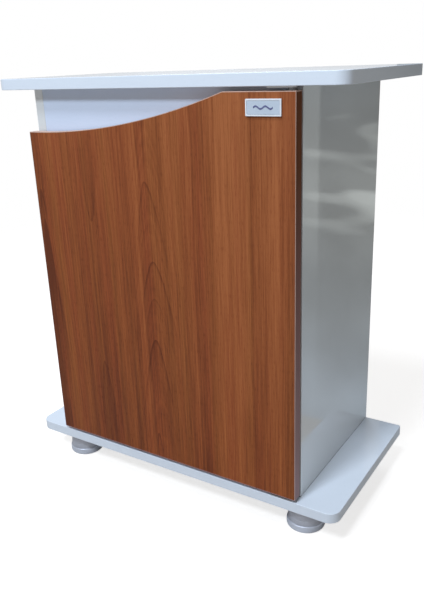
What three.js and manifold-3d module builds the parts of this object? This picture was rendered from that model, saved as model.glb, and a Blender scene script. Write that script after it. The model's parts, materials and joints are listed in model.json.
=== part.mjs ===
// Aquarium stand cabinet: a laminated-board carcass on four turned feet, with one wood-look door
// whose top edge sweeps down to the left so that it can be gripped. Millimetres, +Z up, front towards -Y.
// Built with the carcass front at Y = 0, then shifted so that the origin is under the middle of the object.
import * as THREE from 'three';
import { mergeVertices } from 'three/addons/utils/BufferGeometryUtils.js';
import Module from 'manifold-3d';

const wasm = await Module();
wasm.setup();

// ---- boards and carcass -------------------------------------------------
const BOARD = 18;                 // thickness of every structural board
const TOP_WIDTH = 640;            // top and base boards, side to side
const CARCASS_WIDTH = 500;        // outside of the two side panels
const CARCASS_DEPTH = 300;        // side panel front edge to rear edge
const CARCASS_HEIGHT = 642;       // base board to top board
const FRONT_OVERHANG = 20;        // top and base boards past the carcass front
const FRONT_CORNER_RADIUS = 20;
const REAR_CORNER_RADIUS = 5;
const EDGE_BAND = 1.5;            // edging of the top and base boards
const EDGE_ARRIS = 0.8;           // rounding of that edging
const BACK_THICKNESS = 5;
const BACK_REBATE = 9;            // how far the back is let into each side panel
const CUTOUT_WIDTH = 180;         // hose and cable opening in the back
const CUTOUT_HEIGHT = 60;
const CUTOUT_RADIUS = 12;
const CUTOUT_BELOW_RAIL = 16;
const FASCIA_THICKNESS = 16;
const FASCIA_HEIGHT = 100;
const RAIL_THICKNESS = 16;
const RAIL_HEIGHT = 80;

// ---- shelf --------------------------------------------------------------
const SHELF_THICKNESS = 16;
const SHELF_HEIGHT = 300;         // underside above the base board
const SHELF_SETBACK = 25;         // shelf front edge behind the carcass front
const SHELF_REAR_GAP = 10;
const PIN_RADIUS = 2.5;
const PIN_DEPTH = 8;
const PIN_COLLAR_RADIUS = 4.5;
const PIN_COLLAR = 1.5;
const PIN_PEG_RADIUS = 3.5;
const PIN_PEG = 8;
const PIN_FLAT = 2;               // flat of the peg above the pin's axis
const PIN_INSET = 45;             // pin from the shelf's front and rear edges

// ---- door ---------------------------------------------------------------
const DOOR_CLEARANCE = 6;         // door to base board, and door to top board
const DOOR_REAR_GAP = 4;          // door back to carcass front
const DOOR_BAND = 1;              // edging of the door
const DIP_DEPTH = 62;             // how far the top edge drops at the left
const DIP_RADIUS = 1150;          // radius of the sweep
const DIP_FLAT = 14;              // level part at the left end
const DIP_STEPS = 30;

// ---- pivot hinges -------------------------------------------------------
const PIVOT_INSET = 9;            // hinge axis from the door's right edge
const HINGE_PLATE = 2;
const HINGE_PLATE_LENGTH = 42;
const HINGE_PLATE_WIDTH = 12;
const HINGE_PIN_RADIUS = 3;
const HINGE_PIN_HEIGHT = 16;
const HINGE_WASHER_RADIUS = 6;
const HINGE_SCREW_SPACING = 14;
const HINGE_SCREW_OFFSET = 15;    // first screw from the hinge axis

// ---- catch, bumpers and name plate --------------------------------------
const CATCH_LENGTH = 46;
const CATCH_WIDTH = 15;
const CATCH_DEPTH = 26;
const CATCH_BELOW_FASCIA = 50;    // middle of the catch below the fascia's lower edge
const CATCH_SCREW_SETBACK = 15.6; // catch screws behind the carcass front
const MAGNET_LENGTH = 30;
const MAGNET_WIDTH = 6;
const MAGNET_DEPTH = 8;
const MAGNET_PROUD = 1.5;         // the magnet stands this far out of its housing
const STRIKE_LENGTH = 38;
const STRIKE_WIDTH = 14;
const STRIKE_THICKNESS = 1.2;
const BUMPER_RADIUS = 4.75;
const BUMPER_INSET = 30;
const BUMPER_DOME = [[1, 0.4], [0.8, 0.8], [0.45, 1]]; // shares of its radius and its height
const BADGE_WIDTH = 55;
const BADGE_HEIGHT = 23;
const BADGE_THICKNESS = 2.5;
const BADGE_BEVEL = 0.7;
const BADGE_RADIUS = 1.2;
const BADGE_LEAST_RADIUS = 0.5;
const BADGE_BORDER = 2.2;
const BADGE_RECESS = 1;
const BADGE_INSERT = 0.7;
const BADGE_FROM_SIDE = 20.5;
const BADGE_FROM_TOP = 9.5;
const WAVE_LENGTH = 30;
const WAVE_SWING = 1.8;
const WAVE_WIDTH = 2.4;
const WAVE_THICKNESS = 0.25;
const WAVE_STEPS = 24;

// ---- feet ---------------------------------------------------------------
const FOOT_HEIGHT = 50;
const FOOT_RADIUS = 32.5;
const FOOT_RIM = 13;
const FOOT_STEP = 1;              // the tapered body starts this far inside the rim
const FOOT_ROUND = 2.5;           // rounded lower edge of the rim
const FOOT_ROUND_MIDDLE = 0.7;    // middle of that rounding from the foot's side and floor
const FOOT_NECK_RADIUS = 27.5;
const FOOT_GROOVE = 0.7;          // depth and half height of each turned groove
const FOOT_GROOVE_COUNT = 3;
const FOOT_BOLT_RADIUS = 4;
const FOOT_BOLT_HEAD_RADIUS = 7;
const FOOT_BOLT_HEAD = 5.5;
const FOOT_BOLT_BITE = 12;        // bolt above the foot, into the base board
const FOOT_RECESS_RADIUS = 9;
const FOOT_RECESS = 8;
const FOOT_FROM_SIDE = 73;        // foot centre from the board's side edge
const FOOT_FROM_FRONT = 48;       // foot centre from the board's front and rear edges

// ---- fixings ------------------------------------------------------------
const CAM_RADIUS = 7.5;
const CAM_DEPTH = 12;
const CAM_FROM_END = 34;          // cam centre from the side panel's top and bottom ends
const CAM_FROM_EDGE = 55;         // cam centre from the side panel's front and rear edges
const CAM_SLOT_WIDTH = 1.6;
const CAM_SLOT_LENGTH = 9;
const CAM_SLOT_DEPTH = 1.5;
const SCREW_RADIUS = 1.6;
const SCREW_HEAD_RADIUS = 3.2;
const SCREW_LENGTH = 13;
const PAN_HEAD = 1.8;             // height of a pan-headed screw's head
const HEAD_CHAMFER = 1;           // of pan heads and bolt heads

const FIT = 0.3;                  // gap around every piece that sits in a hole or faces a moving one
const REACH = 2;                  // how far a cutting tool runs past a face
const FINE = 40;                  // sides of large round pieces
const SMALL = 16;                 // sides of small round pieces

// ---- positions that follow from the sizes -------------------------------
const baseFace = FOOT_HEIGHT + BOARD;
const topUnder = baseFace + CARCASS_HEIGHT;
const topFace = topUnder + BOARD;
const sideX = CARCASS_WIDTH / 2;
const innerX = sideX - BOARD;
const boardX = TOP_WIDTH / 2;
const boardFront = -FRONT_OVERHANG;
const doorBack = -DOOR_REAR_GAP;
const doorFront = doorBack - BOARD;
const doorFoot = baseFace + DOOR_CLEARANCE;
const doorHead = topUnder - DOOR_CLEARANCE;
const dipLevel = doorHead - DIP_DEPTH;
const dipStart = -sideX + DIP_FLAT;
const pivotX = sideX - PIVOT_INSET;
const pivotY = (doorFront + doorBack) / 2;
const backFace = CARCASS_DEPTH - BACK_THICKNESS;
const railFoot = topUnder - RAIL_HEIGHT;
const fasciaFoot = topUnder - FASCIA_HEIGHT;
const shelfUnder = baseFace + SHELF_HEIGHT;
const catchZ = fasciaFoot - CATCH_BELOW_FASCIA;
const strikeFace = doorBack + STRIKE_THICKNESS;
const badgeX = sideX - BADGE_FROM_SIDE - BADGE_WIDTH / 2;
const badgeZ = doorHead - BADGE_FROM_TOP - BADGE_HEIGHT / 2;
const badgeFront = doorFront - BADGE_THICKNESS;
const depthMiddle = (badgeFront + CARCASS_DEPTH) / 2;

// ---- tools --------------------------------------------------------------
function toSolid(geometry) {
  const bare = geometry.clone();
  bare.deleteAttribute('normal');
  bare.deleteAttribute('uv');
  const welded = mergeVertices(bare, 1e-4);
  return new wasm.Manifold(new wasm.Mesh({
    numProp: 3,
    vertProperties: new Float32Array(welded.attributes.position.array),
    triVerts: new Uint32Array(welded.index.array),
  }));
}

function toGeometry(body) {
  const data = body.getMesh();
  const geometry = new THREE.BufferGeometry();
  geometry.setAttribute('position', new THREE.BufferAttribute(new Float32Array(data.vertProperties), 3));
  geometry.setIndex(new THREE.BufferAttribute(new Uint32Array(data.triVerts), 1));
  const flat = geometry.toNonIndexed();
  flat.computeVertexNormals();
  return flat;
}

function cut(geometry, ...tools) {
  let body = toSolid(geometry);
  for (const tool of tools) body = body.subtract(toSolid(tool));
  return toGeometry(body);
}

function box(x0, x1, y0, y1, z0, z1) {
  const geometry = new THREE.BoxGeometry(Math.abs(x1 - x0), Math.abs(y1 - y0), Math.abs(z1 - z0));
  return geometry.translate((x0 + x1) / 2, (y0 + y1) / 2, (z0 + z1) / 2);
}

// A rod between two points on a line parallel to one axis.
function rod(axis, start, end, a, b, radius, sides = SMALL) {
  const geometry = new THREE.CylinderGeometry(radius, radius, Math.abs(end - start), sides);
  const middle = (start + end) / 2;
  if (axis === 'x') return geometry.rotateZ(Math.PI / 2).translate(middle, a, b);
  if (axis === 'y') return geometry.translate(a, middle, b);
  return geometry.rotateX(Math.PI / 2).translate(a, b, middle);
}

// A turned piece: profile pairs are radius and height, and the axis is +Z.
function turned(profile, sides) {
  const points = profile.map(([r, h]) => new THREE.Vector2(r, h));
  return new THREE.LatheGeometry(points, sides).rotateX(Math.PI / 2);
}

function outline(points) {
  return new THREE.Shape(points.map(([a, b]) => new THREE.Vector2(a, b)));
}

// A slab lying flat, from an outline in X and Y.
function slab(shape, z0, z1, arris = 0) {
  const geometry = new THREE.ExtrudeGeometry(shape, {
    depth: z1 - z0 - 2 * arris,
    bevelEnabled: arris > 0,
    bevelThickness: arris,
    bevelSize: arris,
    bevelOffset: -arris,
    bevelSegments: 2,
    curveSegments: 6,
  });
  return geometry.translate(0, 0, z0 + arris);
}

// A slab standing up, from an outline in X and Z.
function standing(shape, y0, y1, arris = 0) {
  return slab(shape, -y1, -y0, arris).rotateX(Math.PI / 2);
}

function roundedRect(x0, x1, y0, y1, radius, rearRadius = radius) {
  const shape = new THREE.Shape();
  shape.moveTo(x0 + radius, y0);
  shape.lineTo(x1 - radius, y0);
  shape.absarc(x1 - radius, y0 + radius, radius, -Math.PI / 2, 0, false);
  shape.lineTo(x1, y1 - rearRadius);
  shape.absarc(x1 - rearRadius, y1 - rearRadius, rearRadius, 0, Math.PI / 2, false);
  shape.lineTo(x0 + rearRadius, y1);
  shape.absarc(x0 + rearRadius, y1 - rearRadius, rearRadius, Math.PI / 2, Math.PI, false);
  shape.lineTo(x0, y0 + radius);
  shape.absarc(x0 + radius, y0 + radius, radius, Math.PI, 1.5 * Math.PI, false);
  return shape;
}

// ---- finishes -----------------------------------------------------------
const finishes = {
  laminate: [0xe4ebf3, 0.25, 0],
  edging: [0xd3dee8, 0.35, 0],
  backboard: [0xd9dde0, 0.6, 0],
  wood: [0x86523a, 0.4, 0],
  woodEdge: [0x5a3826, 0.35, 0],
  steel: [0xb4b6b8, 0.35, 0.9],
  zinc: [0x9c9ea0, 0.45, 0.8],
  nylon: [0xe9e9e4, 0.5, 0],
  magnet: [0x3a3836, 0.6, 0.3],
  rubber: [0xd8dcdc, 0.5, 0],
  badge: [0xe9edf2, 0.25, 0],
  badgeFace: [0xcfd9e6, 0.3, 0],
  badgeMark: [0x2c3c6e, 0.4, 0],
  foot: [0xb9bcbf, 0.3, 0.85],
};

const cabinet = new THREE.Group();
cabinet.name = 'aquarium_stand_cabinet';
cabinet.position.y = -depthMiddle;

function piece(name, finish, geometry) {
  const [color, roughness, metalness] = finishes[finish];
  const material = new THREE.MeshStandardMaterial({ color, roughness, metalness });
  const mesh = new THREE.Mesh(geometry, material);
  mesh.name = name;
  cabinet.add(mesh);
}

const ends = [['left', -1], ['right', 1]];
const faces = [['front', FOOT_FROM_FRONT - FRONT_OVERHANG], ['rear', CARCASS_DEPTH - FOOT_FROM_FRONT]];

// ---- top and base boards with their edging ------------------------------
function boardShape(inset) {
  return roundedRect(
    -boardX + inset, boardX - inset, boardFront + inset, CARCASS_DEPTH - inset,
    FRONT_CORNER_RADIUS - inset, REAR_CORNER_RADIUS - inset,
  );
}

function edging(z0, z1) {
  const middle = slab(boardShape(EDGE_BAND), z0 - REACH, z1 + REACH);
  return cut(slab(boardShape(0), z0, z1, EDGE_ARRIS), middle);
}

// Screws of a hinge plate, along X from the hinge axis towards the middle of the door.
function hingeScrewXs() {
  return [0, 1].map((i) => pivotX - HINGE_SCREW_OFFSET - i * HINGE_SCREW_SPACING);
}

const footSpots = [];
for (const [face, y] of faces) {
  for (const [end, sign] of ends) {
    footSpots.push({ name: `${face}_${end}`, x: sign * (boardX - FOOT_FROM_SIDE), y });
  }
}

const screwHole = SCREW_RADIUS + FIT;
const basePilots = hingeScrewXs().map(
  (x) => rod('z', baseFace + REACH, baseFace - SCREW_LENGTH, x, pivotY, screwHole),
);
const topPilots = hingeScrewXs().map(
  (x) => rod('z', topUnder - REACH, topUnder + SCREW_LENGTH, x, pivotY, screwHole),
);
const footHoles = footSpots.map((spot) => rod(
  'z', FOOT_HEIGHT - REACH, FOOT_HEIGHT + FOOT_BOLT_BITE + FIT, spot.x, spot.y, FOOT_BOLT_RADIUS + FIT,
));

piece('base_panel', 'laminate',
  cut(slab(boardShape(EDGE_BAND), FOOT_HEIGHT, baseFace), ...basePilots, ...footHoles));
piece('base_edge_band', 'edging', edging(FOOT_HEIGHT, baseFace));
piece('top_panel', 'laminate', cut(slab(boardShape(EDGE_BAND), topUnder, topFace), ...topPilots));
piece('top_edge_band', 'edging', edging(topUnder, topFace));

// ---- side panels --------------------------------------------------------
const shelfFront = SHELF_SETBACK;
const shelfRear = backFace - SHELF_REAR_GAP;
const pinYs = [['front', shelfFront + PIN_INSET], ['rear', shelfRear - PIN_INSET]];
const pinZ = shelfUnder - PIN_FLAT;
const camYs = [['front', CAM_FROM_EDGE], ['rear', CARCASS_DEPTH - CAM_FROM_EDGE]];
const camZs = [['lower', baseFace + CAM_FROM_END], ['upper', topUnder - CAM_FROM_END]];
const catchScrewZs = [-1, 1].map((k) => catchZ + k * (CATCH_LENGTH - MAGNET_LENGTH / 2) / 2);

for (const [end, sign] of ends) {
  const plan = outline([
    [innerX, 0], [sideX, 0], [sideX, CARCASS_DEPTH], [innerX + BACK_REBATE, CARCASS_DEPTH],
    [innerX + BACK_REBATE, backFace], [innerX, backFace],
  ].map(([x, y]) => [sign * x, y]));
  const holes = [];
  for (const [, y] of pinYs) {
    const bottom = innerX + PIN_DEPTH + FIT;
    holes.push(rod('x', sign * (innerX - REACH), sign * bottom, y, pinZ, PIN_RADIUS + FIT));
  }
  for (const [, y] of camYs) {
    for (const [, z] of camZs) {
      holes.push(rod('x', sign * (innerX - REACH), sign * (innerX + CAM_DEPTH), y, z, CAM_RADIUS + FIT));
    }
  }
  if (sign < 0) {
    for (const z of catchScrewZs) {
      holes.push(rod('x', REACH - innerX, -innerX - SCREW_LENGTH, CATCH_SCREW_SETBACK, z, screwHole));
    }
  }
  piece(`side_panel_${end}`, 'laminate', cut(slab(plan, baseFace, topUnder), ...holes));

  for (const [face, y] of pinYs) {
    const pin = turned([
      [0, -PIN_DEPTH], [PIN_RADIUS, -PIN_DEPTH], [PIN_RADIUS, 0], [PIN_COLLAR_RADIUS, 0],
      [PIN_COLLAR_RADIUS, PIN_COLLAR], [PIN_PEG_RADIUS, PIN_COLLAR],
      [PIN_PEG_RADIUS, PIN_COLLAR + PIN_PEG], [0, PIN_COLLAR + PIN_PEG],
    ], SMALL);
    pin.rotateY(-sign * Math.PI / 2).translate(sign * innerX, y, pinZ);
    const pegStart = innerX - PIN_COLLAR;
    const above = box(
      sign * pegStart, sign * (pegStart - PIN_PEG - REACH), y - PIN_COLLAR_RADIUS, y + PIN_COLLAR_RADIUS,
      shelfUnder, shelfUnder + PIN_COLLAR_RADIUS,
    );
    piece(`shelf_pin_${face}_${end}`, 'zinc', cut(pin, above));
  }

  for (const [level, z] of camZs) {
    for (const [face, y] of camYs) {
      const disc = rod('x', sign * innerX, sign * (innerX + CAM_DEPTH), y, z, CAM_RADIUS);
      const half = CAM_SLOT_WIDTH / 2;
      const reach = CAM_SLOT_LENGTH / 2;
      const x0 = sign * (innerX - REACH);
      const x1 = sign * (innerX + CAM_SLOT_DEPTH);
      piece(`cam_lock_${level}_${face}_${end}`, 'zinc', cut(
        disc,
        box(x0, x1, y - half, y + half, z - reach, z + reach),
        box(x0, x1, y - reach, y + reach, z - half, z + half),
      ));
    }
  }
}

// ---- fascia, rear rail, back and shelf ----------------------------------
piece('front_fascia', 'laminate', box(-innerX, innerX, 0, FASCIA_THICKNESS, fasciaFoot, topUnder));
piece('rear_rail', 'laminate', box(-innerX, innerX, backFace - RAIL_THICKNESS, backFace, railFoot, topUnder));

const cutoutTop = railFoot - CUTOUT_BELOW_RAIL;
const backX = innerX + BACK_REBATE;
const cutout = roundedRect(
  -CUTOUT_WIDTH / 2, CUTOUT_WIDTH / 2, cutoutTop - CUTOUT_HEIGHT, cutoutTop, CUTOUT_RADIUS,
);
piece('back_panel', 'backboard', cut(
  box(-backX, backX, backFace, CARCASS_DEPTH, baseFace, topUnder),
  standing(cutout, backFace - REACH, CARCASS_DEPTH + REACH),
));
const shelfX = innerX - PIN_COLLAR - FIT;
piece('shelf', 'laminate',
  box(-shelfX, shelfX, shelfFront, shelfRear, shelfUnder, shelfUnder + SHELF_THICKNESS));

// ---- door ---------------------------------------------------------------
// The sweep is an arc centred above the dip; a deeper inset has a larger radius.
function topEdge(inset) {
  const radius = DIP_RADIUS + inset;
  const centre = dipLevel + DIP_RADIUS;
  const head = doorHead - inset;
  const endX = Math.sqrt(radius ** 2 - (centre - head) ** 2);
  const points = [];
  for (let i = 0; i <= DIP_STEPS; i += 1) {
    const u = endX * i / DIP_STEPS;
    points.push([dipStart + u, centre - Math.sqrt(radius ** 2 - u ** 2)]);
  }
  points[DIP_STEPS][1] = head;
  return points;
}

// The plate let into the door's edge: rounded at the pin, square at the other end.
function leafShape(gap) {
  const half = HINGE_PLATE_WIDTH / 2 + gap;
  const shape = new THREE.Shape();
  shape.moveTo(pivotX - HINGE_PLATE_LENGTH + HINGE_PLATE_WIDTH / 2 - gap, pivotY - half);
  shape.lineTo(pivotX, pivotY - half);
  shape.absarc(pivotX, pivotY, half, -Math.PI / 2, Math.PI / 2, false);
  shape.lineTo(pivotX - HINGE_PLATE_LENGTH + HINGE_PLATE_WIDTH / 2 - gap, pivotY + half);
  return shape;
}

const pinHole = HINGE_PIN_RADIUS + FIT;
const doorCuts = () => [
  slab(leafShape(FIT), doorFoot - REACH, doorFoot + HINGE_PLATE),
  slab(leafShape(FIT), doorHead - HINGE_PLATE, doorHead + REACH),
  rod('z', doorFoot, baseFace + HINGE_PLATE + HINGE_PIN_HEIGHT + FIT, pivotX, pivotY, pinHole),
  rod('z', doorHead, topUnder - HINGE_PLATE - HINGE_PIN_HEIGHT - FIT, pivotX, pivotY, pinHole),
];
const strikeX = -innerX + STRIKE_WIDTH / 2;
const toRear = -Math.PI / 2;
const strikeSink = () => screwSink().rotateX(toRear).translate(strikeX, strikeFace, catchZ);

const inX = sideX - DOOR_BAND;
const doorCore = outline([
  [-inX, doorFoot + DOOR_BAND], [inX, doorFoot + DOOR_BAND], [inX, doorHead - DOOR_BAND],
  ...topEdge(DOOR_BAND).reverse(), [-inX, dipLevel - DOOR_BAND],
]);
piece('door_panel', 'wood', cut(standing(doorCore, doorFront, doorBack), ...doorCuts(), strikeSink()));

const topStrip = outline([
  [-sideX, dipLevel], [-sideX, dipLevel - DOOR_BAND], ...topEdge(DOOR_BAND),
  [sideX, doorHead - DOOR_BAND], [sideX, doorHead], ...topEdge(0).reverse(),
]);
piece('door_band_top', 'woodEdge', cut(standing(topStrip, doorFront, doorBack), ...doorCuts()));
piece('door_band_bottom', 'woodEdge',
  cut(box(-inX, inX, doorFront, doorBack, doorFoot, doorFoot + DOOR_BAND), ...doorCuts()));
piece('door_band_left', 'woodEdge',
  box(-sideX, -inX, doorFront, doorBack, doorFoot, dipLevel - DOOR_BAND));
piece('door_band_right', 'woodEdge',
  box(inX, sideX, doorFront, doorBack, doorFoot, doorHead - DOOR_BAND));

// ---- pivot hinges at the door's right-hand corners ----------------------
function screw() {
  return turned([
    [0, -SCREW_LENGTH + FIT], [SCREW_RADIUS, -SCREW_LENGTH + FIT],
    [SCREW_RADIUS, SCREW_RADIUS - SCREW_HEAD_RADIUS], [SCREW_HEAD_RADIUS, 0], [0, 0],
  ], SMALL);
}

function screwSink() {
  const depth = SCREW_RADIUS - SCREW_HEAD_RADIUS;
  return turned([
    [0, -SCREW_LENGTH], [screwHole, -SCREW_LENGTH], [screwHole, depth],
    [SCREW_HEAD_RADIUS + FIT, 0], [SCREW_HEAD_RADIUS + FIT, REACH], [0, REACH],
  ], SMALL);
}

const hinges = [['lower', baseFace, doorFoot, 1], ['upper', topUnder, doorHead, -1]];
for (const [level, board, leafFace, up] of hinges) {
  const flip = up > 0 ? 0 : Math.PI;
  const plateFace = board + up * HINGE_PLATE;
  const sinks = hingeScrewXs().map((x) => screwSink().rotateX(flip).translate(x, pivotY, plateFace));
  const plate = slab(leafShape(0), Math.min(board, plateFace), Math.max(board, plateFace));
  piece(`hinge_${level}_plate`, 'steel', cut(plate, ...sinks));
  hingeScrewXs().forEach((x, i) => {
    piece(`hinge_${level}_screw_${i + 1}`, 'zinc', screw().rotateX(flip).translate(x, pivotY, plateFace));
  });
  piece(`hinge_${level}_pin`, 'steel',
    rod('z', plateFace, plateFace + up * HINGE_PIN_HEIGHT, pivotX, pivotY, HINGE_PIN_RADIUS));
  const ring = rod('z', plateFace, leafFace - up * FIT, pivotX, pivotY, HINGE_WASHER_RADIUS);
  piece(`hinge_${level}_washer`, 'nylon',
    cut(ring, rod('z', board, leafFace + up * REACH, pivotX, pivotY, pinHole)));
  const inner = leafFace + up * HINGE_PLATE;
  const leaf = slab(leafShape(0), Math.min(leafFace, inner), Math.max(leafFace, inner));
  piece(`hinge_${level}_leaf`, 'steel',
    cut(leaf, rod('z', leafFace - up * REACH, inner + up * REACH, pivotX, pivotY, pinHole)));
}

// ---- magnetic catch on the left side panel, and its strike on the door ---
const magnetFace = strikeFace + FIT;
const housingFace = magnetFace + MAGNET_PROUD;
const catchX = -innerX + CATCH_WIDTH / 2;
const housing = box(
  -innerX, CATCH_WIDTH - innerX, housingFace, housingFace + CATCH_DEPTH,
  catchZ - CATCH_LENGTH / 2, catchZ + CATCH_LENGTH / 2,
);
const pocket = box(
  catchX - MAGNET_WIDTH / 2 - FIT, catchX + MAGNET_WIDTH / 2 + FIT,
  housingFace - REACH, magnetFace + MAGNET_DEPTH,
  catchZ - MAGNET_LENGTH / 2 - FIT, catchZ + MAGNET_LENGTH / 2 + FIT,
);
const catchBores = catchScrewZs.map(
  (z) => rod('x', -innerX - REACH, CATCH_WIDTH - innerX + REACH, CATCH_SCREW_SETBACK, z, screwHole),
);
piece('catch_housing', 'nylon', cut(housing, pocket, ...catchBores));
piece('catch_magnet', 'magnet', box(
  catchX - MAGNET_WIDTH / 2, catchX + MAGNET_WIDTH / 2, magnetFace, magnetFace + MAGNET_DEPTH,
  catchZ - MAGNET_LENGTH / 2, catchZ + MAGNET_LENGTH / 2,
));
catchScrewZs.forEach((z, i) => {
  const panScrew = turned([
    [0, -CATCH_WIDTH - SCREW_LENGTH + FIT], [SCREW_RADIUS, -CATCH_WIDTH - SCREW_LENGTH + FIT],
    [SCREW_RADIUS, 0], [SCREW_HEAD_RADIUS, 0], [SCREW_HEAD_RADIUS, PAN_HEAD / 2],
    [SCREW_HEAD_RADIUS - HEAD_CHAMFER, PAN_HEAD], [0, PAN_HEAD],
  ], SMALL);
  piece(`catch_screw_${i + 1}`, 'zinc',
    panScrew.rotateY(Math.PI / 2).translate(CATCH_WIDTH - innerX, CATCH_SCREW_SETBACK, z));
});
const strike = box(
  strikeX - STRIKE_WIDTH / 2, strikeX + STRIKE_WIDTH / 2, doorBack, strikeFace,
  catchZ - STRIKE_LENGTH / 2, catchZ + STRIKE_LENGTH / 2,
);
piece('catch_strike', 'steel', cut(strike, strikeSink()));
piece('catch_strike_screw', 'zinc', screw().rotateX(toRear).translate(strikeX, strikeFace, catchZ));

// ---- bumper pads on the door's back -------------------------------------
for (const [level, z] of [['lower', doorFoot + BUMPER_INSET], ['upper', dipLevel - BUMPER_INSET]]) {
  const height = DOOR_REAR_GAP - FIT;
  const dome = BUMPER_DOME.map(([r, h]) => [BUMPER_RADIUS * r, height * h]);
  const pad = turned([[0, 0], [BUMPER_RADIUS, 0], ...dome, [0, height]], SMALL);
  piece(`door_bumper_${level}`, 'rubber',
    pad.rotateX(toRear).translate(-(sideX + innerX) / 2, doorBack, z));
}

// ---- name plate on the door ---------------------------------------------
function plateRect(inset) {
  return roundedRect(
    badgeX - BADGE_WIDTH / 2 + inset, badgeX + BADGE_WIDTH / 2 - inset,
    badgeZ - BADGE_HEIGHT / 2 + inset, badgeZ + BADGE_HEIGHT / 2 - inset,
    Math.max(BADGE_RADIUS - inset, BADGE_LEAST_RADIUS),
  );
}
const badgeFloor = badgeFront + BADGE_RECESS;
const badgeFace = badgeFloor - BADGE_INSERT;
piece('badge_plate', 'badge', cut(
  standing(plateRect(0), badgeFront, doorFront, BADGE_BEVEL),
  standing(plateRect(BADGE_BORDER), badgeFront - REACH, badgeFloor),
));
piece('badge_insert', 'badgeFace', standing(plateRect(BADGE_BORDER + FIT), badgeFace, badgeFloor));
const wave = [];
for (const side of [-1, 1]) {
  for (let i = 0; i <= WAVE_STEPS; i += 1) {
    const t = side < 0 ? i / WAVE_STEPS : 1 - i / WAVE_STEPS;
    const rise = WAVE_SWING * Math.sin(t * 4 * Math.PI) + side * WAVE_WIDTH / 2;
    wave.push([badgeX + (t - 0.5) * WAVE_LENGTH, badgeZ + rise]);
  }
}
piece('badge_wave', 'badgeMark', standing(outline(wave), badgeFace - WAVE_THICKNESS, badgeFace));

// ---- feet ---------------------------------------------------------------
// The tapered body above the rim, with evenly spaced V-shaped grooves.
function footBody() {
  const wide = FOOT_RADIUS - FOOT_STEP;
  const radiusAt = (z) => wide + (FOOT_NECK_RADIUS - wide) * (z - FOOT_RIM) / (FOOT_HEIGHT - FOOT_RIM);
  const points = [[wide, FOOT_RIM]];
  for (let i = 1; i <= FOOT_GROOVE_COUNT; i += 1) {
    const z = FOOT_RIM + (FOOT_HEIGHT - FOOT_RIM) * i / (FOOT_GROOVE_COUNT + 1);
    points.push([radiusAt(z - FOOT_GROOVE), z - FOOT_GROOVE]);
    points.push([radiusAt(z) - FOOT_GROOVE, z]);
    points.push([radiusAt(z + FOOT_GROOVE), z + FOOT_GROOVE]);
  }
  points.push([FOOT_NECK_RADIUS, FOOT_HEIGHT]);
  return points;
}

const boltFoot = FOOT_RECESS - FOOT_BOLT_HEAD;
for (const spot of footSpots) {
  const foot = turned([
    [0, FOOT_RECESS], [FOOT_RECESS_RADIUS, FOOT_RECESS], [FOOT_RECESS_RADIUS, 0],
    [FOOT_RADIUS - FOOT_ROUND, 0], [FOOT_RADIUS - FOOT_ROUND_MIDDLE, FOOT_ROUND_MIDDLE],
    [FOOT_RADIUS, FOOT_ROUND],
    [FOOT_RADIUS, FOOT_RIM - FOOT_STEP], ...footBody(), [0, FOOT_HEIGHT],
  ], FINE).translate(spot.x, spot.y, 0);
  const hole = rod('z', FOOT_RECESS - REACH, FOOT_HEIGHT + REACH, spot.x, spot.y, FOOT_BOLT_RADIUS + FIT);
  piece(`foot_${spot.name}`, 'foot', cut(foot, hole));
  const bolt = turned([
    [0, boltFoot], [FOOT_BOLT_HEAD_RADIUS - HEAD_CHAMFER, boltFoot],
    [FOOT_BOLT_HEAD_RADIUS, boltFoot + HEAD_CHAMFER], [FOOT_BOLT_HEAD_RADIUS, FOOT_RECESS],
    [FOOT_BOLT_RADIUS, FOOT_RECESS], [FOOT_BOLT_RADIUS, FOOT_HEIGHT + FOOT_BOLT_BITE],
    [0, FOOT_HEIGHT + FOOT_BOLT_BITE],
  ], SMALL).translate(spot.x, spot.y, 0);
  piece(`foot_bolt_${spot.name}`, 'zinc', bolt);
}

export default cabinet;
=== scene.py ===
"""Aquarium stand cabinet: white melamine boards, a walnut-look door with a dipped grip edge,
pivot hinges, a magnetic catch and four turned silver feet. Metres, front towards -Y."""
import json
import math

import bmesh
import bpy
from mathutils import Matrix, Vector

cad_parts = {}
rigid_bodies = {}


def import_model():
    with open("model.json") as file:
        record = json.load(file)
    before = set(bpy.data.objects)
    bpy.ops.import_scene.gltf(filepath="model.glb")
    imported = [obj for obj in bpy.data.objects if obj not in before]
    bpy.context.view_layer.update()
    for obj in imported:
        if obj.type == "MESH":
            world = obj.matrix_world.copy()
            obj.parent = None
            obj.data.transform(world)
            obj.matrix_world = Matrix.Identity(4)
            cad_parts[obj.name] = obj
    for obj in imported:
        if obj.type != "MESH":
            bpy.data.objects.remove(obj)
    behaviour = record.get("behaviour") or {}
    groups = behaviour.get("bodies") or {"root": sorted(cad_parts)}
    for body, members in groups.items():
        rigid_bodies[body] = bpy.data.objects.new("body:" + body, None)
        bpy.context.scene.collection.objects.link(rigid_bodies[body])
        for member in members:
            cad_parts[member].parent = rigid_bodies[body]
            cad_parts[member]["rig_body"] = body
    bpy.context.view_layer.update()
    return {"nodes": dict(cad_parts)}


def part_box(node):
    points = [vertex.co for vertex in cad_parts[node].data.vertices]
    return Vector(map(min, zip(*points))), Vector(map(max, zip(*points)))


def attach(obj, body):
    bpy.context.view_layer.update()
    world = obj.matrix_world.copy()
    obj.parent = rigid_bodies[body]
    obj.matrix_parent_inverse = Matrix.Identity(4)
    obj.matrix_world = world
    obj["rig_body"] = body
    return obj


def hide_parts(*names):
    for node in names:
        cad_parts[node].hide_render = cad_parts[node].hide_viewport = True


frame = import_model()

# ---- viewpoint ----------------------------------------------------------
EYE = Vector((0.6506, -0.9930, 0.7459))
EYE_YAW = 0.578
EYE_PITCH = -0.340
EYE_ROLL = -0.040
LENS = 40.72
SENSOR = 36.0

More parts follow.
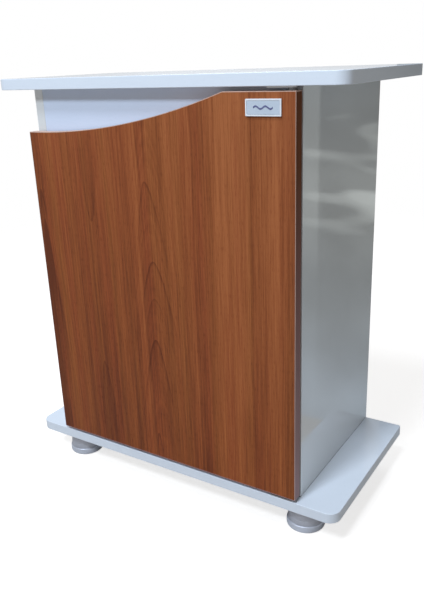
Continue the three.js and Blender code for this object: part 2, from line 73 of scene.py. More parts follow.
# ---- light --------------------------------------------------------------
KEY_PLACE = Vector((-0.30, -2.43, 2.95))
KEY_SIZE = 0.62
KEY_POWER = 67.0
KEY_COLOUR = (0.84, 0.94, 1.06)
TOP_PLACE = Vector((0.30, -1.10, 2.70))
TOP_SIZE = 0.45
TOP_POWER = 29.0
REAR_PLACE = Vector((-1.6, 2.6, 2.1))
REAR_SIZE = 1.2
REAR_POWER = 30.0
LIT_MIDDLE = Vector((0.0, -0.1, 0.4))
SKY_COLOUR = (1.0, 0.978, 0.95)
SKY_LIGHT = 0.20
SKY_GLOSS = 0.70                  # what glossy faces mirror
FLOOR_GLOW = 0.70                 # keeps the floor pale inside the shadow
FLOOR_CLEAR = (1.1, 2.3)          # the floor fades out between these distances from the middle
CARD_PLACE = 0.22                 # a dim reflector behind the right side, seen only in gloss
CARD_SPAN = (0.258, 0.50)
CARD_TOP = 0.78
CARD_SPLIT = 0.384
CARD_POWER = 0.66
CARD_LOW_COLOUR = (0.82, 0.97, 1.14, 1)
CARD_HIGH_COLOUR = (0.94, 1.0, 0.97, 1)

# ---- edges of the real boards -------------------------------------------
BOARD_EDGE = 0.0007
JOINT_SHADE_HEIGHT = 0.0012               # painted shade: a fine dark line where the sides meet the base, standing in for the shadow in the joint
JOINT_RISE = 0.0004
JOINT_SHADE_COLOUR = (0.06, 0.06, 0.07, 1)
DOOR_EDGE = 0.0006
METAL_EDGE = 0.0002
BOARD_FRONT_RADIUS = 0.020
BOARD_REAR_RADIUS = 0.005
EDGING_THICKNESS = 0.0015
EDGING_ROUND = 0.0010
EDGE_BASE_REFLECTION = 0.85                  # painted reflection: how far the door's edging turns to its paler foot colour, which stands in for the white base mirrored in it
CROSS_ARM_WIDTH = 0.20            # half width of a cross recess, as a share of its arm
EDGE_STEPS = 2
MERGE_WITHIN = 2e-6
FLAT_BELOW = 0.4                  # degrees: faces that bend less than this become one
SHARP_ABOVE = 32.0                # degrees: only edges that bend more than this are eased
SMOOTH_BELOW = 28.0               # degrees: turned faces that bend less than this are shaded as one
BLEND_BELOW = 50.0                # degrees: the same for the larger pieces, weighted by area
FOOT_RIM_TOP = 0.013
FOOT_FLOOR_ROUND = 0.0036         # rounding of the foot's rim at the floor, and where the body starts
FOOT_SHOULDER = 0.0018
FOOT_SHOULDER_RISE = 0.0030
FOOT_GROOVES = 3
GROOVE_SECTION = ((-0.0011, 0.0), (-0.0006, 0.00012), (0.0, 0.00035), (0.0006, 0.00012), (0.0011, 0.0))


# ---- shader building ----------------------------------------------------
class Net:
    """A node tree with short calls for making and joining its nodes."""

    def __init__(self, tree):
        self.tree = tree

    def node(self, kind, **settings):
        made = self.tree.nodes.new(kind)
        for key, value in settings.items():
            if key in made.inputs:
                made.inputs[key].default_value = value
            else:
                setattr(made, key, value)
        return made

    def join(self, source, target):
        self.tree.links.new(source, target)

    def math(self, operation, a, b=None, clamp=False):
        made = self.tree.nodes.new("ShaderNodeMath")
        made.operation = operation
        made.use_clamp = clamp
        for place, value in enumerate((a, b)):
            if value is None:
                continue
            if hasattr(value, "links"):
                self.join(value, made.inputs[place])
            else:
                made.inputs[place].default_value = value
        return made.outputs[0]

    def noise(self, vector, scale, detail=2.0, roughness=0.5, distortion=0.0):
        made = self.tree.nodes.new("ShaderNodeTexNoise")
        made.inputs["Scale"].default_value = scale
        made.inputs["Detail"].default_value = detail
        made.inputs["Roughness"].default_value = roughness
        made.inputs["Distortion"].default_value = distortion
        self.join(vector, made.inputs["Vector"])
        return made.outputs["Fac"]

    def vector(self, x):
        made = self.tree.nodes.new("ShaderNodeCombineXYZ")
        self.join(x, made.inputs[0])
        return made.outputs[0]

    def axes(self, vector):
        made = self.tree.nodes.new("ShaderNodeSeparateXYZ")
        self.join(vector, made.inputs[0])
        return made.outputs

    def stretch(self, vector, scale):
        made = self.tree.nodes.new("ShaderNodeVectorMath")
        made.operation = "MULTIPLY"
        self.join(vector, made.inputs[0])
        if hasattr(scale, "links"):
            self.join(scale, made.inputs[1])
        else:
            made.inputs[1].default_value = scale
        return made.outputs[0]

    def remap(self, value, low, high, to_low=0.0, to_high=1.0):
        made = self.tree.nodes.new("ShaderNodeMapRange")
        self.join(value, made.inputs["Value"])
        for key, number in (("From Min", low), ("From Max", high), ("To Min", to_low), ("To Max", to_high)):
            made.inputs[key].default_value = number
        return made.outputs["Result"]

    def mix(self, factor, a, b):
        made = self.tree.nodes.new("ShaderNodeMix")
        made.data_type = "RGBA"
        for socket, value in ((made.inputs[0], factor), (made.inputs[6], a), (made.inputs[7], b)):
            if hasattr(value, "links"):
                self.join(value, socket)
            else:
                socket.default_value = value
        return made.outputs[2]


def new_group(name, inputs, outputs):
    """A shader group with named sockets: inputs are (kind, name, default), outputs are (kind, name)."""
    tree = bpy.data.node_groups.new(name, "ShaderNodeTree")
    for kind, label, default in inputs:
        socket = tree.interface.new_socket(label, in_out="INPUT", socket_type=kind)
        if default is not None:
            socket.default_value = default
    for kind, label in outputs:
        tree.interface.new_socket(label, in_out="OUTPUT", socket_type=kind)
    net = Net(tree)
    return tree, net, net.node("NodeGroupInput"), net.node("NodeGroupOutput")


VECTOR, COLOUR, NUMBER = "NodeSocketVector", "NodeSocketColor", "NodeSocketFloat"


# Broad tone of the foil across the door, as (X in metres, lightness from 0 to 1).
TONE_COLUMNS = (
    (-0.250, 0.16), (-0.234, 0.18), (-0.231, 0.52), (-0.205, 0.56), (-0.165, 0.50), (-0.140, 0.46),
    (-0.120, 0.42), (-0.105, 0.52), (-0.062, 0.50), (-0.030, 0.62), (-0.026, 0.50), (0.010, 0.48),
    (0.050, 0.54), (0.0745, 0.53), (0.0755, 0.34), (0.100, 0.42), (0.115, 0.64), (0.150, 0.74),
    (0.175, 0.66), (0.179, 0.45), (0.205, 0.56), (0.217, 0.68), (0.224, 0.64), (0.232, 0.47), (0.250, 0.42),
)
# Arched ring ends: heart X, tip Z, half widths to the left and right, way up, reach, line and fill darkness.
ARCHES = (
    (-0.0110, 0.571, 0.013, 0.020, 1.0, 0.19, 0.30, 0.02),
    (-0.0040, 0.442, 0.020, 0.022, 1.0, 0.15, 0.36, 0.03),
    (-0.0060, 0.378, 0.020, 0.022, 1.0, 0.10, 0.26, 0.02),
    (-0.0090, 0.304, 0.018, 0.016, 1.0, 0.20, 0.36, 0.08),
    (-0.0170, 0.123, 0.007, 0.009, 1.0, 0.06, 0.36, 0.12),
    (-0.1290, 0.497, 0.010, 0.014, -1.0, 0.16, 0.18, 0.10),
    (-0.1300, 0.240, 0.009, 0.012, 1.0, 0.20, 0.20, 0.09),
    (-0.2400, 0.545, 0.006, 0.008, 1.0, 0.05, 0.40, 0.20),
    (-0.2390, 0.492, 0.006, 0.008, 1.0, 0.30, 0.30, 0.35),
)
ARCH_RISE = 0.110
TONE_LEAN_X = 0.14                # the foil lightens to the right and upwards
TONE_LEAN_Z = 0.35
DOOR_MIDDLE = 0.39
CAST_LEVEL = 0.885                # and reddens to the left and downwards from this height
CAST_LEAN_X = 0.8
CAST_LEAN_Z = 1.3
CAST_HIGH = (1.0, 1.05, 1.20, 1)
CAST_LOW = (1.0, 0.92, 0.76, 1)


def build_arch_group():
    """One ring end: a thin arched line, sharp outside and soft inside, over a faintly darker filling."""
    tree, net, given, out = new_group(
        "ring_arch",
        [
            (NUMBER, "X", 0.0), (NUMBER, "Z", 0.0), (NUMBER, "Heart X", 0.0), (NUMBER, "Tip Z", 0.3),
            (NUMBER, "Left", 0.015), (NUMBER, "Right", 0.02), (NUMBER, "Way Up", 1.0),
            (NUMBER, "Reach", 0.15), (NUMBER, "Line", 0.5), (NUMBER, "Fill", 0.1),
        ],
        [(NUMBER, "Darkness")],
    )
    take = given.outputs
    across = net.math("SUBTRACT", take["X"], take["Heart X"])
    to_right = net.math("GREATER_THAN", across, 0.0)
    wider = net.math("MULTIPLY", to_right, net.math("SUBTRACT", take["Right"], take["Left"]))
    width = net.math("ADD", take["Left"], wider)
    ratio = net.math("DIVIDE", across, width)
    hyper = net.math("SQRT", net.math("ADD", net.math("MULTIPLY", ratio, ratio), 1.0))
    below = net.math("MULTIPLY", net.math("SUBTRACT", take["Tip Z"], take["Z"]), take["Way Up"])
    inside = net.math("SUBTRACT", below, net.math("MULTIPLY", net.math("SUBTRACT", hyper, 1.0), ARCH_RISE))
    slope = net.math("DIVIDE", net.math("MULTIPLY", ratio, ARCH_RISE), net.math("MULTIPLY", width, hyper))
    square = net.math("SQRT", net.math("ADD", net.math("MULTIPLY", slope, slope), 1.0))
    depth = net.math("DIVIDE", inside, square)
    outer = net.remap(depth, -0.0006, 0.0004)
    inner = net.remap(depth, 0.0004, 0.0075, 1.0, 0.0)
    line = net.math("MULTIPLY", outer, net.math("POWER", inner, 2.0))
    reached = net.math("DIVIDE", below, take["Reach"])
    fade = net.remap(reached, 0.1, 1.0, 1.0, 0.0)
    total = net.math("ADD", net.math("MULTIPLY", line, take["Line"]),
                     net.math("MULTIPLY", net.remap(depth, -0.0005, 0.003), take["Fill"]))
    net.join(net.math("MULTIPLY", total, fade), out.inputs["Darkness"])
    return tree


def tone_ramp(net, across):
    """The broad tone columns, read across the door's width."""
    low, high = TONE_COLUMNS[0][0], TONE_COLUMNS[-1][0]
    ramp = net.node("ShaderNodeValToRGB")
    net.join(net.remap(across, low, high), ramp.inputs["Fac"])
    stops = ramp.color_ramp.elements
    stops[0].position, stops[1].position = 0.0, 1.0
    for place, _ in TONE_COLUMNS[1:-1]:
        stops.new((place - low) / (high - low))
    for stop, (_, tone) in zip(stops, TONE_COLUMNS):
        stop.color = (tone, tone, tone, 1)
    return ramp.outputs["Color"]


def build_grain_group():
    """Walnut-look foil: broad tone columns, fine upright streaks, arched ring ends and short dark pores."""
    tree, net, given, out = new_group(
        "walnut_grain",
        [
            (VECTOR, "Vector", None),
            (COLOUR, "Dark", (0.118, 0.026, 0.0070, 1)),
            (COLOUR, "Red", (0.262, 0.062, 0.0190, 1)),
            (COLOUR, "Golden", (0.248, 0.074, 0.0185, 1)),
            (COLOUR, "Light", (0.380, 0.120, 0.0370, 1)),
        ],
        [(COLOUR, "Color"), (NUMBER, "Height"), (NUMBER, "Roughness")],
    )
    place = given.outputs["Vector"]
    axes = net.axes(place)
    sway = net.remap(net.noise(net.stretch(place, (2.0, 1.0, 2.4)), 1.0, 1.0), 0.3, 0.7, -0.004, 0.004)
    ripple = net.remap(net.noise(net.stretch(place, (60.0, 20.0, 22.0)), 1.0, 2.0), 0.3, 0.7, -0.0005, 0.0005)
    across = net.math("ADD", net.math("ADD", axes["X"], sway), ripple)
    arch_sum = None
    arch = build_arch_group()
    for heart, tip, left, right, way, reach, line, fill in ARCHES:
        made = net.node("ShaderNodeGroup", node_tree=arch)
        net.join(net.math("ADD", axes["X"], ripple), made.inputs["X"])
        net.join(axes["Z"], made.inputs["Z"])
        for key, value in (("Heart X", heart), ("Tip Z", tip), ("Left", left), ("Right", right),
                           ("Way Up", way), ("Reach", reach), ("Line", line), ("Fill", fill)):
            made.inputs[key].default_value = value
        arch_sum = made.outputs[0] if arch_sum is None else net.math("MAXIMUM", arch_sum, made.outputs[0])

    # Faint nested ring lines that lean out from the heart on both sides.
    lean = net.math("DIVIDE", net.math("ADD", across, 0.008), 0.02)
    legs = net.math("SQRT", net.math("ADD", net.math("MULTIPLY", lean, lean), 1.0))
    height = net.math("ADD", axes["Z"], net.math("MULTIPLY", legs, ARCH_RISE))
    rings = net.noise(net.stretch(net.vector(height), (38.0, 1.0, 1.0)), 1.0, 2.0, 0.6)
    near = net.remap(net.math("ABSOLUTE", lean), 0.5, 4.5, 1.0, 0.0)
    rings = net.math("MULTIPLY", net.remap(rings, 0.35, 0.65, -0.5, 0.5), near)

    tone = net.math("ADD", tone_ramp(net, across), net.math("MULTIPLY", axes["X"], TONE_LEAN_X))
    raised = net.math("SUBTRACT", axes["Z"], DOOR_MIDDLE)
    tone = net.math("ADD", tone, net.math("MULTIPLY", raised, TONE_LEAN_Z))
    drift = net.noise(net.stretch(place, (11.0, 3.0, 1.6)), 1.0, 2.0)
    medium = net.noise(net.stretch(place, (75.0, 20.0, 1.2)), 1.0, 3.0, 0.6)
    narrow = net.noise(net.stretch(place, (260.0, 60.0, 2.6)), 1.0, 2.0, 0.6)
    fleck = net.noise(net.stretch(place, (820.0, 240.0, 15.0)), 1.0, 1.0)
    pores = net.noise(net.stretch(place, (1000.0, 300.0, 95.0)), 1.0, 0.0)
    pore = net.remap(pores, 0.60, 0.70)
    for value, swing in ((drift, 0.08), (medium, 0.13), (narrow, 0.16), (fleck, 0.19)):
        tone = net.math("ADD", tone, net.remap(value, 0.28, 0.72, -swing, swing))
    tone = net.math("ADD", tone, net.math("MULTIPLY", rings, 0.16))
    tone = net.math("SUBTRACT", tone, net.math("MULTIPLY", arch_sum, 1.2))
    tone = net.math("SUBTRACT", tone, net.math("MULTIPLY", pore, 0.16), clamp=True)
    hue = net.remap(net.noise(net.stretch(place, (46.0, 15.0, 0.9)), 1.0, 2.0), 0.28, 0.72)
    middle_tone = net.mix(hue, given.outputs["Red"], given.outputs["Golden"])
    low = net.mix(net.remap(tone, 0.0, 0.5), given.outputs["Dark"], middle_tone)
    colour = net.mix(net.remap(tone, 0.5, 1.0), low, given.outputs["Light"])
    net.join(colour, out.inputs["Color"])
    net.join(net.math("SUBTRACT", tone, pore), out.inputs["Height"])
    net.join(net.math("ADD", net.remap(narrow, 0.2, 0.8, 0.0, 0.08), net.math("MULTIPLY", pore, 0.12)),
             out.inputs["Roughness"])
    return tree


def build_surface_group():
    """Handling marks and the faint waviness of a pressed or moulded skin."""
    tree, net, given, out = new_group(
        "handled_surface",
        [
            (VECTOR, "Vector", None),
            (NUMBER, "Smudge Scale", 9.0),
            (NUMBER, "Peel Scale", 420.0),
            (NUMBER, "Dust", 0.4),
        ],
        [(NUMBER, "Smudge"), (NUMBER, "Dust"), (NUMBER, "Height")],
    )
    place = given.outputs["Vector"]
    smudge = net.node("ShaderNodeTexNoise", Detail=4.0, Roughness=0.6, Distortion=0.4)
    net.join(place, smudge.inputs["Vector"])
    net.join(given.outputs["Smudge Scale"], smudge.inputs["Scale"])
    peel = net.node("ShaderNodeTexNoise", Detail=1.0)
    net.join(place, peel.inputs["Vector"])
    net.join(given.outputs["Peel Scale"], peel.inputs["Scale"])
    specks = net.noise(place, 700.0, 1.0)
    dust = net.math("MULTIPLY", net.remap(specks, 0.66, 0.74), given.outputs["Dust"])
    net.join(net.remap(smudge.outputs["Fac"], 0.3, 0.7), out.inputs["Smudge"])
    net.join(dust, out.inputs["Dust"])
    net.join(peel.outputs["Fac"], out.inputs["Height"])
    return tree


def build_wear_group():
    """Rubbed, paler edges, found from how sharply the surface turns."""
    tree, net, given, out = new_group(
        "rubbed_edge",
        [(VECTOR, "Vector", None), (NUMBER, "Reach", 0.55), (NUMBER, "Patchiness", 0.5)],
        [(NUMBER, "Wear")],
    )
    shape = net.node("ShaderNodeNewGeometry")
    sharp = net.remap(shape.outputs["Pointiness"], 0.505, 0.58)
    patches = net.remap(net.noise(given.outputs["Vector"], 60.0, 3.0), 0.4, 0.65)
    kept = net.math("SUBTRACT", 1.0, given.outputs["Patchiness"])
    broken = net.math("ADD", kept, net.math("MULTIPLY", patches, given.outputs["Patchiness"]))
    wear = net.math("MULTIPLY", net.math("MULTIPLY", sharp, broken), given.outputs["Reach"], clamp=True)
    net.join(wear, out.inputs["Wear"])
    return tree


GRAIN = build_grain_group()
SURFACE = build_surface_group()
WEAR = build_wear_group()


def new_material(name):
    material = bpy.data.materials.new(name)
    material.use_nodes = True
    net = Net(material.node_tree)
    shader = material.node_tree.nodes["Principled BSDF"]
    place = net.node("ShaderNodeTexCoord").outputs["Object"]
    return material, net, shader, place


def place_group(net, tree, place, **values):
    made = net.node("ShaderNodeGroup", node_tree=tree)
    net.join(place, made.inputs["Vector"])
    for key, value in values.items():
        made.inputs[key.replace("_", " ")].default_value = value
    return made


def bump(net, shader, height, strength, distance):
    made = net.node("ShaderNodeBump", Strength=strength, Distance=distance)
    net.join(height, made.inputs["Height"])
    net.join(made.outputs["Normal"], shader.inputs["Normal"])


def sheet_material(name, colour, dull, low, high, coat=0.0, peel=420.0, relief=0.05, smudge=9.0, dust=0.3,
                   joint_shade=None, specular=0.5):
    """Melamine, edging or moulded plastic: one colour with smudges, dust and a faint waviness.

    A given joint height draws a fine dark line of painted shade there, standing in for the shadow where a
    board stands on another.
    """
    material, net, shader, place = new_material(name)
    marks = place_group(net, SURFACE, place, Smudge_Scale=smudge, Peel_Scale=peel, Dust=dust)
    tinted = net.mix(marks.outputs["Smudge"], (*colour, 1), (*dull, 1))
    dusty = net.mix(marks.outputs["Dust"], tinted, (*[c * 0.82 for c in dull], 1))
    if joint_shade is not None:
        # Painted shade: a near-black line just above the joint height, for the shadow in the crack where the
        # side stands on the base.
        line = net.remap(net.axes(place)["Z"], joint_shade, joint_shade + JOINT_SHADE_HEIGHT, 0.95, 0.0)
        dusty = net.mix(line, dusty, JOINT_SHADE_COLOUR)
    net.join(dusty, shader.inputs["Base Color"])
    net.join(net.remap(marks.outputs["Smudge"], 0.0, 1.0, low, high), shader.inputs["Roughness"])
    shader.inputs["Specular IOR Level"].default_value = specular
    shader.inputs["Coat Weight"].default_value = coat
    shader.inputs["Coat Roughness"].default_value = 0.06
    bump(net, shader, marks.outputs["Height"], relief, 0.0004)
    return material


def metal_material(name, colour, dull, low, high, brushed=(1.0, 1.0, 1.0), relief=0.15, grain=900.0):
    """Plated or turned metal with fine tool marks along one direction and rubbed edges."""
    material, net, shader, place = new_material(name)
    marks = place_group(net, SURFACE, place, Smudge_Scale=40.0, Peel_Scale=600.0, Dust=0.2)
    wear = place_group(net, WEAR, place, Reach=0.6, Patchiness=0.4)
    lines = net.noise(net.stretch(place, brushed), grain, 2.0, 0.7)
    base = net.mix(marks.outputs["Smudge"], (*colour, 1), (*dull, 1))
    worn = net.mix(wear.outputs["Wear"], base, (*[min(1.0, c * 1.25) for c in colour], 1))
    net.join(worn, shader.inputs["Base Color"])
    shader.inputs["Metallic"].default_value = 1.0
    smudges = net.math("MULTIPLY", marks.outputs["Smudge"], 0.5)
    blend = net.math("ADD", net.math("MULTIPLY", lines, 0.5), smudges)
    net.join(net.remap(blend, 0.25, 0.75, low, high), shader.inputs["Roughness"])
    bump(net, shader, lines, relief, 0.0001)
    return material


def walnut_material():
    material, net, shader, place = new_material("walnut_print")
    grain = place_group(net, GRAIN, place)
    marks = place_group(net, SURFACE, place, Smudge_Scale=7.0, Peel_Scale=350.0, Dust=0.15)
    axes = net.axes(place)
    lowness = net.math("MULTIPLY", net.math("SUBTRACT", CAST_LEVEL, axes["Z"]), CAST_LEAN_Z)
    warmth = net.math("SUBTRACT", lowness, net.math("MULTIPLY", axes["X"], CAST_LEAN_X), clamp=True)
    cast = net.mix(warmth, CAST_HIGH, CAST_LOW)
    net.join(net.stretch(grain.outputs["Color"], cast), shader.inputs["Base Color"])
    satin = net.math("ADD", grain.outputs["Roughness"],
                     net.remap(marks.outputs["Smudge"], 0.0, 1.0, 0.36, 0.42))
    net.join(satin, shader.inputs["Roughness"])
    shader.inputs["Specular IOR Level"].default_value = 0.22
    bump(net, shader, grain.outputs["Height"], 0.12, 0.0002)
    return material


def walnut_edging_material(name, light, dark, foot, low, high, gloss):
    """Plastic edging printed with narrow streaks; towards the foot of the door it is painted paler, a painted
    reflection of the white base board.
    """
    material, net, shader, place = new_material(name)
    streaks = net.noise(net.stretch(place, (300.0, 260.0, 6.0)), 1.0, 3.0, 0.6)
    marks = place_group(net, SURFACE, place, Smudge_Scale=14.0, Peel_Scale=300.0, Dust=0.2)
    printed = net.mix(net.remap(streaks, 0.3, 0.7), (*dark, 1), (*light, 1))
    # Painted reflection: the edging pales towards the foot of the door, as the glossy edge would mirror the
    # white base.
    lowness = net.remap(net.axes(place)["Z"], 0.10, 0.60, EDGE_BASE_REFLECTION, 0.0)
    net.join(net.mix(lowness, printed, (*foot, 1)), shader.inputs["Base Color"])
    net.join(net.remap(marks.outputs["Smudge"], 0.0, 1.0, low, high), shader.inputs["Roughness"])
    shader.inputs["Specular IOR Level"].default_value = gloss
    shader.inputs["IOR"].default_value = 1.3
    bump(net, shader, streaks, 0.1, 0.0002)
    return material


def turned_foot_material():
    """Satin turned metal: fine level tool marks, and painted light and shade: the rim is painted brighter, as
    it catches the light, and the body above it darker, as the base board shades it.
    """
    material, net, shader, place = new_material("satin_foot")
    marks = place_group(net, SURFACE, place, Smudge_Scale=30.0, Peel_Scale=500.0, Dust=0.3)
    wear = place_group(net, WEAR, place, Reach=0.3, Patchiness=0.5)
    lines = net.noise(net.stretch(place, (2.0, 2.0, 1400.0)), 1.0, 2.0, 0.7)
    # Painted light and shade: brighter colours below the rim top, darker ones on the body above it.
    body = net.remap(net.axes(place)["Z"], FOOT_RIM_TOP - 0.0008, FOOT_RIM_TOP + 0.0004)
    bright = net.mix(marks.outputs["Smudge"], (0.66, 0.70, 0.80, 1), (0.58, 0.62, 0.71, 1))
    dull = net.mix(marks.outputs["Smudge"], (0.52, 0.54, 0.61, 1), (0.44, 0.46, 0.52, 1))
    base = net.mix(body, bright, dull)
    worn = net.mix(wear.outputs["Wear"], base, (0.70, 0.72, 0.78, 1))
    net.join(net.mix(marks.outputs["Dust"], worn, (0.30, 0.29, 0.28, 1)), shader.inputs["Base Color"])
    shader.inputs["Metallic"].default_value = 0.55
    net.join(net.remap(lines, 0.3, 0.7, 0.40, 0.54), shader.inputs["Roughness"])
    bump(net, shader, lines, 0.10, 0.0001)
    return material


WHITE = sheet_material("white_melamine", (0.74, 0.80, 0.88), (0.725, 0.785, 0.865), 0.10, 0.14, relief=0.02)
# Painted shade: the fascia is the same white melamine as the other boards, in a darker, bluer copy that
# stands in for the shade under the top board's overhang.
FASCIA = sheet_material("white_fascia", (0.65, 0.74, 0.90), (0.63, 0.72, 0.88), 0.07, 0.10, relief=0.012)
# Painted shade: the side panels' white is greyer and less blue than the other boards', a copy made to look as
# the white does in the shade on the sides; the high gloss is the laminate's own.
GLOSS_WHITE = sheet_material("white_gloss_side", (0.72, 0.75, 0.76), (0.70, 0.73, 0.74), 0.04, 0.07,
                             coat=1.0, peel=45.0, relief=0.012, smudge=3.0,
                             joint_shade=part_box("side_panel_right")[0].z + JOINT_RISE, specular=0.9)
EDGING = sheet_material("melamine_edging", (0.74, 0.80, 0.88), (0.72, 0.78, 0.86), 0.30, 0.42, peel=700.0)
BACKBOARD = sheet_material("white_hardboard", (0.74, 0.76, 0.77), (0.68, 0.70, 0.70), 0.50, 0.65,
                           peel=900.0, relief=0.15, dust=0.6)
NYLON = sheet_material("moulded_nylon", (0.80, 0.80, 0.76), (0.74, 0.74, 0.70), 0.38, 0.5, peel=900.0)
# Painted shade: the hinge washers are white nylon, drawn near-black here so that they read as dark in the
# shaded gap above the door.
WASHER = sheet_material("dark_nylon", (0.05, 0.05, 0.05), (0.07, 0.07, 0.07), 0.4, 0.5, peel=900.0)
BUMPER = sheet_material("soft_bumper", (0.68, 0.71, 0.71), (0.60, 0.63, 0.63), 0.35, 0.5, peel=800.0)
MAGNET = sheet_material("ferrite", (0.045, 0.042, 0.040), (0.06, 0.055, 0.05), 0.5, 0.7, peel=1500.0,
                        relief=0.3)
BADGE_RIM = sheet_material("badge_rim", (0.82, 0.85, 0.90), (0.74, 0.77, 0.82), 0.12, 0.22, coat=0.5,
                           smudge=60.0)
BADGE_FACE = sheet_material("badge_face", (0.53, 0.60, 0.69), (0.49, 0.56, 0.65), 0.2, 0.3, smudge=60.0)
BADGE_MARK = sheet_material("badge_mark", (0.10, 0.11, 0.24), (0.12, 0.13, 0.27), 0.25, 0.35, smudge=60.0)
WALNUT = walnut_material()
# The third colour of each edging is its painted reflection of the white base, at the foot of the door.
WALNUT_EDGE = walnut_edging_material("walnut_tape", (0.190, 0.062, 0.024), (0.120, 0.040, 0.015),
                                     (0.46, 0.32, 0.34), 0.40, 0.52, 0.06)
PALE_EDGE = walnut_edging_material("pale_arris", (0.66, 0.46, 0.38), (0.50, 0.32, 0.25),
                                   (0.62, 0.46, 0.42), 0.3, 0.42, 0.25)
# Painted shade: the hinge plates, leaves, pins and strike plate get a steel about half as bright as plated
# steel, so that they read dark in the shaded gaps round the door.
STEEL = metal_material("plated_steel", (0.36, 0.36, 0.37), (0.27, 0.27, 0.28), 0.3, 0.45,
                       brushed=(0.05, 1.0, 1.0))
ZINC = metal_material("dull_zinc", (0.55, 0.56, 0.57), (0.42, 0.42, 0.42), 0.3, 0.5)
FOOT = turned_foot_material()


# ---- finishing the pieces -----------------------------------------------
def new_object(name, data):
    made = bpy.data.objects.new(name, data)
    bpy.context.scene.collection.objects.link(made)
    return made


def finished(name, mesh, nodes):
    """A piece that takes the place of some CAD nodes and rides on their body."""
    piece = new_object(name, mesh)
    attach(piece, frame["nodes"][nodes[0]]["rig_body"])
    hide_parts(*nodes)
    return piece


def smooth_by_angle(mesh, degrees):
    """Smooth shading, with every edge that turns by more than the given angle kept sharp."""
    work = bmesh.new()
    work.from_mesh(mesh)
    limit = math.radians(degrees)
    for edge in work.edges:
        edge.smooth = not (len(edge.link_faces) == 2 and edge.calc_face_angle(0.0) > limit)
    for face in work.faces:
        face.smooth = True
    work.to_mesh(mesh)
    work.free()


def weighted_normals(mesh, degrees):
    """Corner normals led by the largest nearby faces, so that flat faces stay flat beside an eased edge."""
    limit = math.cos(math.radians(degrees))
    around = [[] for _ in mesh.vertices]
    for face in mesh.polygons:
        for vertex in face.vertices:
            around[vertex].append(face)
    normals = []
    for face in mesh.polygons:
        for vertex in face.vertices:
            near = [other for other in around[vertex] if face.normal.dot(other.normal) > limit]
            total = sum(((other.area * 1e4) ** 2 * other.normal for other in near), Vector())
            normals.append(total.normalized() if total.length > 0 else face.normal)
    mesh.normals_split_custom_set(normals)


def softened(node, materials, edge, edge_material=-1):
    """A copy of a board or plate with its arrises eased, as a sanded or moulded edge is."""
    source = frame["nodes"][node].data
    work = bmesh.new()
    work.from_mesh(source)
    bmesh.ops.remove_doubles(work, verts=work.verts, dist=MERGE_WITHIN)
    bmesh.ops.dissolve_limit(work, angle_limit=math.radians(FLAT_BELOW), verts=work.verts, edges=work.edges)
    limit = math.radians(SHARP_ABOVE)
    sharp = [e for e in work.edges if len(e.link_faces) == 2 and e.calc_face_angle(0.0) > limit]
    if edge > 0:
        bmesh.ops.bevel(work, geom=sharp, offset=edge, segments=EDGE_STEPS, profile=0.5, affect="EDGES",
                        clamp_overlap=True, material=edge_material)
    mesh = bpy.data.meshes.new(node + "_piece")
    work.to_mesh(mesh)
    work.free()
    for material in materials:
        mesh.materials.append(material)
    mesh.shade_smooth()
    weighted_normals(mesh, BLEND_BELOW)
    return finished(mesh.name, mesh, [node])


def hexagon_ring(angle):
    """Distance to a hexagon's side, as a share of the distance to the middle of that side."""
    return 1.0 / math.cos(angle % (math.pi / 3) - math.pi / 6)


def cross_ring(angle):
    """Distance to the outline of a cross recess, as a share of its arm's length."""
    turn = (angle + math.pi / 4) % (math.pi / 2) - math.pi / 4
    return min(1.0 / math.cos(turn), CROSS_ARM_WIDTH / max(abs(math.sin(turn)), 1e-4))


def turned_mesh(name, profile, sides, material, loop=False):
    """A closed turned mesh about +Z from (radius, height) or (radius, height, ring shape) entries.

    The profile starts and ends on the axis, or closes on itself when loop is set.
    """
    work = bmesh.new()
    rings = []
    for radius, height, *shape in profile:
        ring = shape[0] if shape else lambda angle: 1.0
        if radius < 1e-7:
            rings.append([work.verts.new((0, 0, height))])
            continue
        angles = [2 * math.pi * i / sides for i in range(sides)]
        rings.append([
            work.verts.new((radius * ring(a) * math.cos(a), radius * ring(a) * math.sin(a), height))
            for a in angles
        ])
    pairs = list(zip(rings, rings[1:]))
    if loop:
        pairs.append((rings[-1], rings[0]))
    for lower, upper in pairs:
        for i in range(sides):
            j = (i + 1) % sides
            corners = [ring[k % len(ring)] for ring, k in ((lower, i), (lower, j), (upper, j), (upper, i))]
            unique = list(dict.fromkeys(corners))
            if len(unique) > 2:
                work.faces.new(unique)
    bmesh.ops.recalc_face_normals(work, faces=work.faces)
    mesh = bpy.data.meshes.new(name)
    work.to_mesh(mesh)
    work.free()
    mesh.materials.append(material)
    smooth_by_angle(mesh, SMOOTH_BELOW)
    return mesh


# ---- Geometry Nodes: one turned template set out at marked points ---------
def made_by(tree, name, carrier, values):
    """Runs a Geometry Nodes tree on a carrier object and returns the result as a plain mesh."""
    modifier = carrier.modifiers.new(tree.name, "NODES")
    modifier.node_group = tree
    named = {s.name: s.identifier for s in tree.interface.items_tree if s.in_out == "INPUT"}
    for label, value in values.items():
        modifier[named[label]] = value
    bpy.context.view_layer.update()
    graph = bpy.context.evaluated_depsgraph_get()
    mesh = bpy.data.meshes.new_from_object(carrier.evaluated_get(graph))
    mesh.name = name
    carrier.modifiers.clear()
    bpy.data.objects.remove(carrier)
    return mesh


